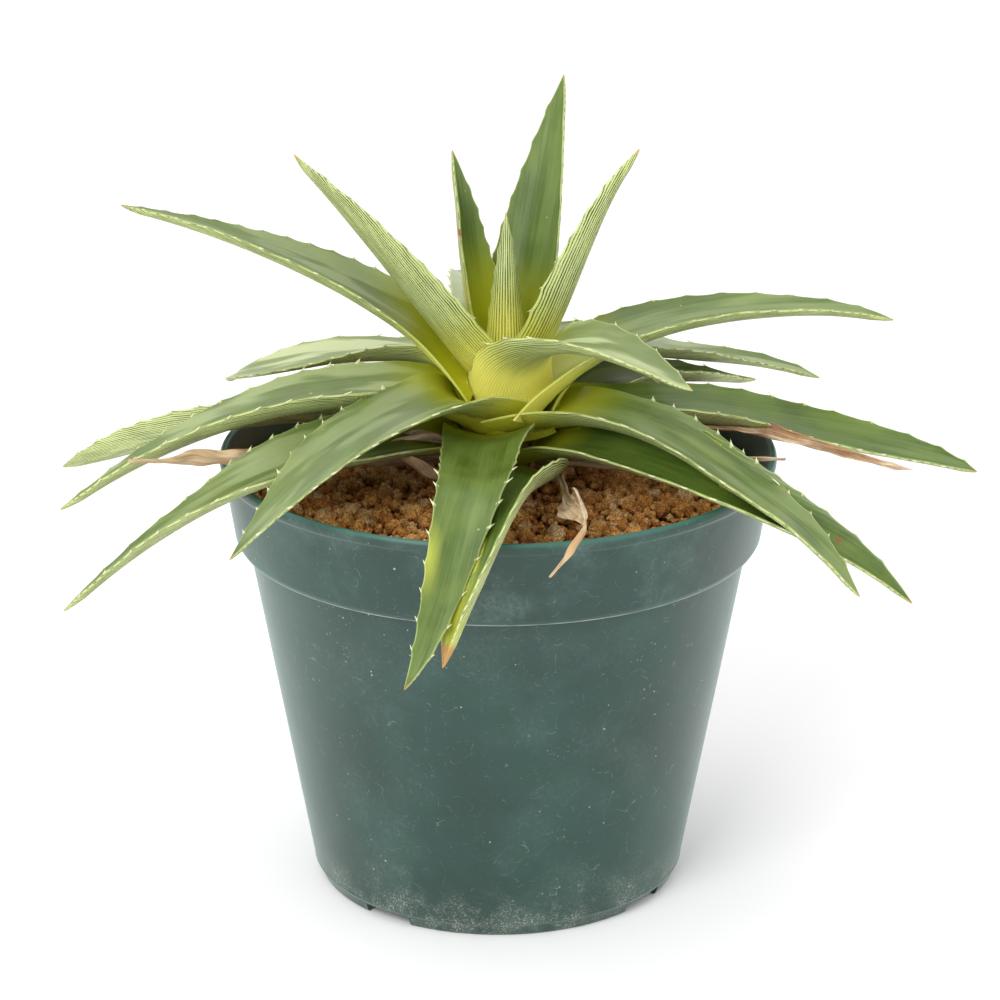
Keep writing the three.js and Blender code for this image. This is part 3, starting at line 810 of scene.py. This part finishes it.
def midline(leaf):
    # A function that gives the place, tangent, side and upward directions at a share of the leaf's length
    steps = growth["midlineSteps"]
    sweep = (0, *leaf.get("sweep", (0, 0, 0)))
    roll = leaf.get("roll", (0, 0))

    def along(s):
        rise = math.radians(through(leaf["rise"], s))
        way = math.radians(leaf["turn"] + through(sweep, s))
        tangent = Vector((math.cos(rise) * math.cos(way), math.cos(rise) * math.sin(way), math.sin(rise)))
        return tangent, Vector((-math.sin(way), math.cos(way), 0))

    start = math.radians(leaf["turn"])
    out = leaf.get("out", growth["dryOut" if leaf.get("dry") else "out"])
    places = [Vector((trunk["centre"][0] + out * math.cos(start),
                      trunk["centre"][1] + out * math.sin(start), leaf["root"]))]
    for i in range(steps):
        step = along(i / steps)[0] + along((i + 1) / steps)[0]
        places.append(places[-1] + step * leaf["long"] / steps / 2)

    def frameAt(s):
        at = clamp(s) * steps
        i = min(int(at), steps - 1)
        tangent, side = along(s)
        upward = tangent.cross(side)
        twist = math.radians(roll[0] + (roll[1] - roll[0]) * s)
        leaning = side * math.cos(twist) + upward * math.sin(twist)
        facing = upward * math.cos(twist) - side * math.sin(twist)
        place = places[i].lerp(places[i + 1], at - i) + tangent * min(s, 0) * leaf["long"]
        return place, tangent, leaning, facing

    return frameAt


def halfWidth(leaf, s):
    full = leaf.get("full", growth["full"])
    blade = 1 - clamp((s - full) / (1 - full)) ** leaf.get("taper", growth["taper"])
    return leaf["wide"] / 2 * blade * (1 + leaf.get("sheath", growth["sheath"]) * sheathShare(s))


def sheathShare(s):
    # 1 at the root, and 0 from the end of the sheath on
    return clamp(1 - s / growth["sheathShare"]) ** 1.5


def foldOf(leaf, s):
    # Half the angle of the blade's arc across, in radians
    flat = leaf.get("open", growth["dryOpen" if leaf.get("dry") else "open"])
    wrapped = leaf.get("wrap", growth["dryWrap" if leaf.get("dry") else "wrap"])
    return flat * (1 - growth["opening"] * s) + (wrapped - flat) * sheathShare(s)


def thicknessOf(leaf, s, u):
    dry = leaf.get("dry")
    middle = growth["dryThick" if dry else "thick"] * (1 - growth["thinning"] * s)
    edge = growth["dryEdge" if dry else "edge"]
    tipward = min(1, (1 - s) * leaf["long"] / growth["tipLong"]) ** 0.5
    return (edge + (middle - edge) * (1 - abs(u) ** 2.2)) * max(tipward, 0.12)


def ridgeAt(u, s, seed):
    # Long low ridges that run down both faces, -1 to 1
    return noise.noise(Vector((u * 4.2, s * 2.2, seed))) * 1.8


def tubeFaces(first, rows, size):
    # Four-sided faces between rows of points, each row a closed ring of the same size
    faces = []
    for row in range(first, first + (rows - 1) * size, size):
        for i in range(size):
            j = (i + 1) % size
            faces.append((row + i, row + j, row + size + j, row + size + i))
    return faces


def leafShell(leaf, acrossCount, stations, grow=0.0, spines=()):
    # Points, faces and readings of the closed blade, without its spines
    frameAt = midline(leaf)
    dry = leaf.get("dry")
    seed = leaf["turn"] * 0.37 + leaf["root"]
    us = [math.sin(math.pi / 2 * (2 * i / (acrossCount - 1) - 1)) for i in range(acrossCount)]
    points = []
    readings = {key: [] for key in ("along", "across", "upper", "rim")}

    def addPoint(place, s, u, upper, half):
        points.append(place)
        readings["along"].append(s * leaf["long"])
        readings["across"].append(u * half)
        readings["upper"].append(upper)
        readings["rim"].append((1 - abs(u)) * half)

    for s in stations:
        place, tangent, side, upward = frameAt(s)
        half = halfWidth(leaf, s) * (1 if grow else through(leaf.get("widths", (1, 1)), s)) + grow
        bend = foldOf(leaf, s)
        radius = half / bend
        swell = {-1: 0.0, 1: 0.0}
        for hand, at in spines:
            swell[hand] += growth["bulge"] * math.exp(-((s - at) * leaf["long"] / growth["bulgeLong"]) ** 2)
        wave = 0
        if not grow:
            wave = growth["wave"] * noise.noise(Vector((s * leaf["long"] / growth["waveLong"], seed, 0)))
        above = growth["above"] * clamp((s - 0.12) / 0.1) * clamp((0.8 - s) / 0.1) if grow and not dry else 0
        edge = thicknessOf(leaf, s, 1)
        ring = [(u, -grow - above * (1 - u ** 6), 1.0) for u in us]
        ring.append((1, edge / 2, 0.5))
        ring += [(u, thicknessOf(leaf, s, u) + grow, 0.0) for u in reversed(us)]
        ring.append((-1, edge / 2, 0.5))
        for u, out, upper in ring:
            r = radius + out
            hand = 1 if u > 0 else -1
            crest = edge / 4 if upper == 0.5 else 0
            reach = (swell[hand] * abs(u) ** 8 + crest) * hand
            if not grow:
                r += growth["ridge"] * (1 - u * u) * ridgeAt(u, s, seed)
            x = r * math.sin(bend * u) + reach * math.cos(bend)
            y = radius - r * math.cos(bend * u) + abs(reach) * math.sin(bend) + wave * u * u
            if dry and not grow:
                crumple = Vector((s * leaf["long"] / growth["crumpleLong"], u * 0.8, seed))
                y += growth["crumple"] * noise.noise(crumple) * (0.4 + s)
                x *= 1 + 0.22 * noise.noise(crumple * 1.7)
            addPoint(place + side * x + upward * y, s, u, upper, half)
    size = 2 * acrossCount + 2
    faces = tubeFaces(0, len(stations), size)
    place, tangent, side, upward = frameAt(1)
    addPoint(place + tangent * grow, 1, 0, 0.5, 0)
    last = (len(stations) - 1) * size
    faces += [(last + i, last + (i + 1) % size, len(points) - 1) for i in range(size)]
    for i in range(acrossCount - 1):
        faces.append((i, i + 1, size - 3 - i, size - 2 - i))
    faces += [(acrossCount - 1, acrossCount, acrossCount + 1), (size - 2, size - 1, 0)]
    return points, faces, readings


def spinePlaces(leaf, draw):
    # The hand and share of the length of each spine, closer together near the root
    found = []
    near, far = growth["spineSpacing"]
    closer = growth["smallLeafSpacing"] if leaf["long"] < growth["smallLeaf"] else 1
    for hand in (-1, 1):
        at = growth["spineStart"] * leaf["long"] + draw.uniform(0, 5)
        while at < leaf["long"] - growth["spineEnd"]:
            share = at / leaf["long"]
            found.append((hand, share))
            at += (near + (far - near) * share) * draw.uniform(0.85, 1.15) * closer
    return found


def standsFree(places, blade, rooms):
    # Whether a thorn's root is on the cut blade and no part of the thorn is inside another leaf
    found = blade.find_nearest(places[0])
    if found[0] is None or found[3] > growth["spineReach"]:
        return False
    for room in rooms:
        for place in places:
            spot, normal, _, far = room.find_nearest(place, growth["spineLook"])
            if spot is not None and (far < growth["spineClear"] or (place - spot).dot(normal) < 0):
                return False
    return True


def makeSpines(leaf, spines, draw, blade, rooms):
    # Hooked thorns, each a closed cone sunk into the margin
    frameAt = midline(leaf)
    sides, small = growth["spineSides"], leaf.get("thorns", 1)
    points, faces = [], []
    readings = {key: [] for key in ("along", "across", "upper", "rim", "spine")}
    for hand, s in spines:
        place, tangent, side, upward = frameAt(s)
        half = halfWidth(leaf, s)
        bend = foldOf(leaf, s)
        radius = half / bend
        middle = radius + thicknessOf(leaf, s, 1) / 2
        margin = place + side * (hand * middle * math.sin(bend)) + upward * (radius - middle * math.cos(bend))
        outward = (side * (hand * math.cos(bend)) + upward * math.sin(bend)).normalized()
        normal = outward.cross(tangent).normalized()
        long = growth["spineLong"] * small * (1 - 0.5 * s) * draw.uniform(0.8, 1.15)
        base = growth["spineBase"] * small * (1 - 0.35 * s)
        hook = growth["spineHook"] * draw.uniform(0.5, 1.5)
        reach = [margin + outward * long * t + tangent * hook * t ** 1.5 * long for t in (0, 0.3, 0.6, 1)]
        if not standsFree(reach, blade, rooms):
            continue
        first = len(points)
        rings = (-0.25, 0.12, 0.4, 0.66, 0.86)
        for t in rings:
            taper = (1 - t) ** 1.7 if t > 0 else 1
            leaning = 0.35 * base * (1 - t) + hook * max(t, 0) ** 1.5 * long
            centre = margin + outward * long * t + tangent * leaning
            for i in range(sides):
                angle = 2 * math.pi * i / sides
                wide = math.cos(angle) * base / 2 * taper
                deep = math.sin(angle) * growth["spineThick"] / 2 * (0.35 + 0.65 * taper) * small
                points.append(centre + tangent * wide + normal * deep)
                readings["spine"].append(max(t, 0.02))
        points.append(margin + outward * long + tangent * hook * long)
        readings["spine"].append(1.0)
        count = len(points) - first
        whole = {"along": s * leaf["long"], "across": hand * half, "upper": 0.5, "rim": 0.0}
        for key, value in whole.items():
            readings[key] += [value] * count
        faces += tubeFaces(first, len(rings), sides)
        top = first + (len(rings) - 1) * sides
        faces += [(top + i, top + (i + 1) % sides, first + count - 1) for i in range(sides)]
        faces.append(tuple(first + i for i in reversed(range(sides))))
    return meshFrom("thorns", points, faces, readings)


def treeOf(mesh):
    return BVHTree.FromPolygons([(vert.co - potAxis) / millimetre for vert in mesh.vertices],
                                [tuple(face.vertices) for face in mesh.polygons])


def markLeaf(mesh, leaf):
    # Readings that are particular to one leaf, worked out from the ones that every leaf has
    count = len(mesh.vertices)
    browned = leaf.get("tip", 0.25)
    heart, stain, blanch, tip, alongs, acrosses = ([0.0] * count for _ in range(6))
    mesh.attributes["along"].data.foreach_get("value", alongs)
    mesh.attributes["across"].data.foreach_get("value", acrosses)
    for i, (along, across) in enumerate(zip(alongs, acrosses)):
        half = max(halfWidth(leaf, along / leaf["long"]), 0.5)
        heart[i] = clamp(1 - along / leaf.get("yellow", 20))
        tip[i] = browned * clamp(1 - (leaf["long"] - along) / (2 + 7 * browned))
        for at, off, radius in leaf.get("stains", ()):
            far = math.hypot(along - at * leaf["long"], (across - off * half) * 1.6)
            stain[i] = max(stain[i], clamp(1.3 - far / radius))
        if "blanch" in leaf:
            at, off, radius = leaf["blanch"]
            far = math.hypot((along - at * leaf["long"]) / 3.2, across - off * half)
            blanch[i] = clamp(1.2 - far / radius * 1.5)
    setReadings(mesh, {"heart": heart, "stain": stain, "blanch": blanch, "tip": tip})
    whole = {"bloom": leaf.get("bloom", 0.06), "pale": leaf.get("pale", 0.1), "fade": leaf.get("fade", 0.92),
             "veins": skin["veins"] * leaf.get("veins", 1), "seed": leaf["turn"] * 0.31 + leaf["root"]}
    setReadings(mesh, {key: [value] * count for key, value in whole.items()})


def makeLeaf(name, leaf, cutters, rooms):
    draw = random.Random(name)
    spines = [] if leaf.get("dry") else spinePlaces(leaf, draw)
    steps = round(leaf["long"] / growth["stationStep"])
    stations = [i / steps for i in range(steps)] + [1 - growth["tipCut"] / leaf["long"]]
    blade = looseObject(meshFrom(name, *leafShell(leaf, growth["acrossCount"], stations, 0, spines)))
    if cutters:
        cut(blade, cutters)
    mesh = meshOutOf(blade)
    keepLargestShell(mesh)
    if spines:
        thorns = makeSpines(leaf, spines, draw, treeOf(mesh), rooms)
        with opened(mesh) as joined:
            joined.from_mesh(thorns)
    faceOutward(mesh)
    markLeaf(mesh, leaf)
    return mesh


def makeCutter(name, leaf):
    # The leaf with room to spare round it
    steps = max(10, round(leaf["long"] / growth["roomStep"]))
    stations = [-growth["room"] / leaf["long"]] + [i / steps for i in range(1, steps)]
    points, faces, _ = leafShell(leaf, growth["roomCount"], stations, growth["room"])
    return looseObject(meshFrom(name + "_room", points, faces))


skin = {
    # sheen is the colour of a painted sheen along fine streaks, and bloom that of a waxy bloom that is partly
    # a painted sheen
    "deep": "#3f5712", "green": "#4c6818", "fresh": "#6f862a", "sheen": "#7e9050", "bloom": "#c4cc9c",
    "flush": "#b0b41a", "flushed": "#b6b61c", "yellow": "#bec046", "heart": "#f7f078",
    "cream": "#c6cf8c", "thorn": "#dcdfa6", "line": "#3c4a12", "scale": "#c3cf8c", "rootLine": "#6f7418",
    "rust": "#8f4f2c", "brownTip": "#b98a50", "orange": "#d98a3c", "blanch": "#bfc44a",
    "roughness": 0.36, "underRoughness": 0.5, "veins": 36.0, "relief": 0.1, "marginWidth": 0.26,
    "Subsurface Weight": 0.22, "Subsurface Radius": (0.9, 1.0, 0.25), "Subsurface Scale": 0.0022,
}


def lieOfLeaf(tree):
    # Where a point lies on its leaf, as streaks takes it
    return {name: reading(tree, name.lower()) for name in ("Across", "Along", "Seed")}


def makeLeafSkin():
    material, tree, shader = newMaterial("leafSkin", skin["roughness"])
    here, lie = placeInMillimetres(tree), lieOfLeaf(tree)
    rim, heart, tip = (reading(tree, name) for name in ("rim", "heart", "tip"))
    yellowed = ease(tree, heart, 0.0, 0.75)

    # Upper face: greens that run in long soft streaks, a painted sheen along fine streaks, small pale dots,
    # waxy bloom that is partly a painted sheen, and yellow at the heart
    broad = useGroup(tree, streaks, **lie, Width=5.0, Drawn=7.0)
    fine = useGroup(tree, streaks, **lie, Width=0.7, Drawn=40.0)
    patch = useGroup(tree, mottle, Place=here, Spacing=14.0)
    dots = useGroup(tree, whiteSpecks, Place=here, Spacing=4.5, Share=0.3, Radius=0.09)
    # Waxy bloom, partly a painted sheen, as much as each leaf is given
    bloomAndPaintedSheen = times(tree, reading(tree, "bloom"), ease(tree, broad, 0.3, 0.8, 0.35, 1.4))
    upper = coats(tree, mixColour(tree, broad, skin["deep"], skin["green"]), [
        (times(tree, patch, 0.35), skin["fresh"]),
        # painted sheen along the fine streaks
        (times(tree, fine, 0.22), skin["sheen"]),
        (times(tree, dots, 0.5), skin["cream"]),
        (maths(tree, "MINIMUM", bloomAndPaintedSheen, 0.85), skin["bloom"]),
        (yellowed, skin["flush"]),
    ])

    # Lower face: white scale lines between green ones, closer together as the leaf narrows
    half = plus(tree, maths(tree, "ABSOLUTE", lie["Across"]), rim)
    share = maths(tree, "DIVIDE", lie["Across"], maths(tree, "SQRT", maths(tree, "MAXIMUM", half, 0.5)))
    wave = maths(tree, "SINE", times(tree, share, reading(tree, "veins")))
    wobble = useGroup(tree, streaks, **lie, Width=0.8, Drawn=12.0)
    beads = noiseAt(tree, here, 2.4, 1.0)
    scale = plus(tree, plus(tree, wave, scaled(tree, wobble, 0.7, -0.15)), scaled(tree, beads, 1.0, -0.5))
    scale = ease(tree, scale, -0.75, 0.25)
    pale = mixColour(tree, reading(tree, "pale"), skin["flushed"], skin["heart"])
    ripe = mixColour(tree, ease(tree, heart, 0.1, 0.8), skin["yellow"], pale)
    fading = times(tree, ease(tree, heart, 0.2, 0.7), reading(tree, "fade"))
    faint = mixColour(tree, fading, skin["rootLine"], ripe)
    lower = mixColour(tree, scale, skin["line"], skin["scale"])
    lower = mixColour(tree, yellowed, lower, mixColour(tree, scale, faint, ripe))

    # Both faces: pale margins and thorns, rust marks and browned tips
    side = ease(tree, reading(tree, "upper"), 0.4, 0.6)
    margin = ease(tree, plus(tree, rim, times(tree, fine, 0.12)), 0.02, skin["marginWidth"], 1.0, 0.0)
    rusted = times(tree, reading(tree, "stain"), noiseAt(tree, here, 1.1, 3.0))
    colour = coats(tree, mixColour(tree, side, lower, upper), [
        (times(tree, reading(tree, "blanch"), scaled(tree, broad, 0.4, 0.6)), skin["blanch"]),
        (times(tree, margin, 0.42), skin["cream"]),
        (ease(tree, reading(tree, "spine"), 0.0, 0.2), skin["thorn"]),
        (ease(tree, rusted, 0.22, 0.4), skin["rust"]),
        (ease(tree, tip, 0.05, 0.35), skin["brownTip"]),
        (ease(tree, tip, 0.6, 0.95), skin["orange"]),
    ])

    rough = scaled(tree, patch, 0.1, skin["roughness"] - 0.05)
    rough = plus(tree, rough, ease(tree, side, 0, 1, skin["underRoughness"] - skin["roughness"], 0.0))
    grooves = times(tree, scale, ease(tree, side, 0, 1, 1.0, 0.0))
    relief = plus(tree, grooves, times(tree, fine, 0.3))
    finishSurface(tree, shader, colour, relief, skin["relief"], rough)
    for name in ("Subsurface Weight", "Subsurface Radius", "Subsurface Scale"):
        shader.inputs[name].default_value = skin[name]
    return material


paper = {
    "pale": "#ead6b4", "tan": "#cba878", "brown": "#96694a", "dark": "#5a3c2a",
    "fibreStrength": 0.45, "roughness": 0.8, "relief": 0.3,
}


def makePaper():
    material, tree, shader = newMaterial("driedLeaf", paper["roughness"], 0.3)
    here, lie = placeInMillimetres(tree), lieOfLeaf(tree)
    fibres = useGroup(tree, streaks, **lie, Width=0.6, Drawn=25.0)
    bands = useGroup(tree, streaks, **lie, Width=2.6, Drawn=6.0)
    blot = useGroup(tree, mottle, Place=here, Spacing=7.0, Low=0.4, High=0.7)
    colour = coats(tree, mixColour(tree, bands, paper["pale"], paper["tan"]), [
        (times(tree, scaled(tree, blot, 0.8, 0.25), reading(tree, "age")), paper["brown"]),
        (times(tree, fibres, paper["fibreStrength"]), paper["dark"]),
    ])
    finishSurface(tree, shader, colour, plus(tree, fibres, bands), paper["relief"])
    return material


leafSkin = makeLeafSkin()
driedLeaf = makePaper()
cutters, rooms = [], []
for name, leaf in leaves.items():
    linkPiece(name + "_blade", makeLeaf(name, leaf, cutters, rooms), leafSkin, [name])
    cutters.append(makeCutter(name, leaf))
    rooms.append(treeOf(cutters[-1].data))
print("living leaves grown")

for name, leaf in dryLeaves.items():
    leaf["dry"] = True
    piece = linkPiece(name + "_paper", makeLeaf(name, leaf, cutters, rooms), driedLeaf, [name])
    setReadings(piece.data, {"age": [leaf["tone"]] * len(piece.data.vertices)})
    cutters.append(makeCutter(name, leaf))
for cutter in cutters:
    bpy.data.objects.remove(cutter)
print("dried leaves laid")


# Floor

def makeFloor():
    half = studio["floorSize"] / 2
    mesh = bpy.data.meshes.new("floor")
    corners = [(-half, -half, 0), (half, -half, 0), (half, half, 0), (-half, half, 0)]
    mesh.from_pydata(corners, [], [(0, 1, 2, 3)])
    material, tree, shader = newMaterial("paleFloor", 0.9, 0.1)
    shader.inputs["Base Color"].default_value = (*[studio["floorGrey"]] * 3, 1)
    floor = looseObject(mesh)
    mesh.materials.append(material)


makeFloor()
print("scene ready")
